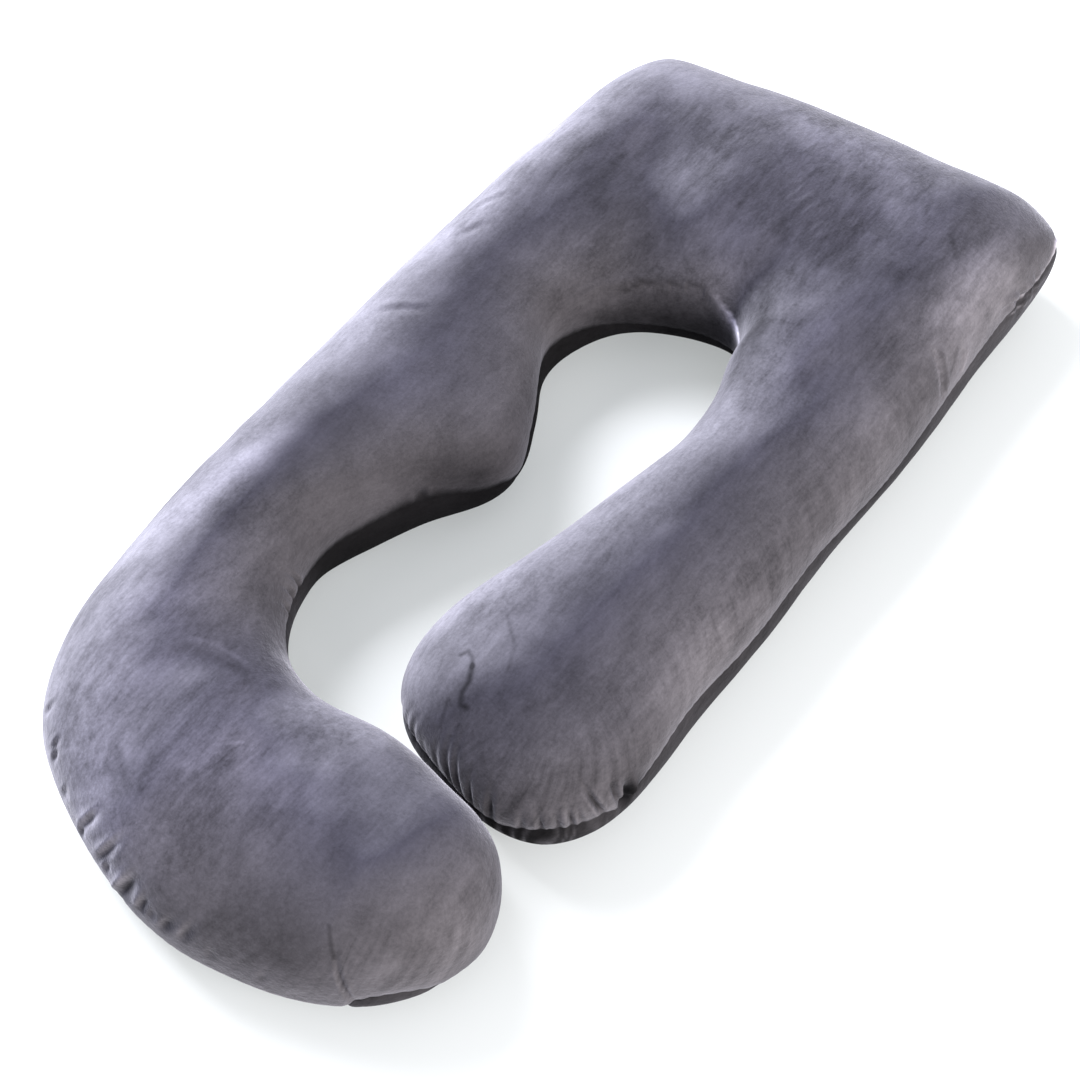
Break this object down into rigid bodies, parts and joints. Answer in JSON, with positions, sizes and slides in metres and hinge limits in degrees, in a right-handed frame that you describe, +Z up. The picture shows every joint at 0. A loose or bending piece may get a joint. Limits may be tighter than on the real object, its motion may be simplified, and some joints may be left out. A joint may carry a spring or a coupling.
{
  "type": "body pillow",
  "caption": "Filled body pillow in short-pile cloth: a squared head, one plain arm and one hooked arm whose foot closes the loop, lying on its back.",
  "frame": {"origin": "middle of the underside of the pillow's box, on the surface it lies on", "axes": "+Y towards the squared head, +X towards the plain arm, +Z up out of the upper panel"},
  "size_m": [0.6038, 1.2618, 0.1891],
  "materials": {
    "grey_velvet": "short-pile velvet, matt with a soft sheen at the edges, grey with a touch of violet"
  },
  "bodies": {
    "root": {"filled_pillow": "grey_velvet"}
  },
  "joints": []
}
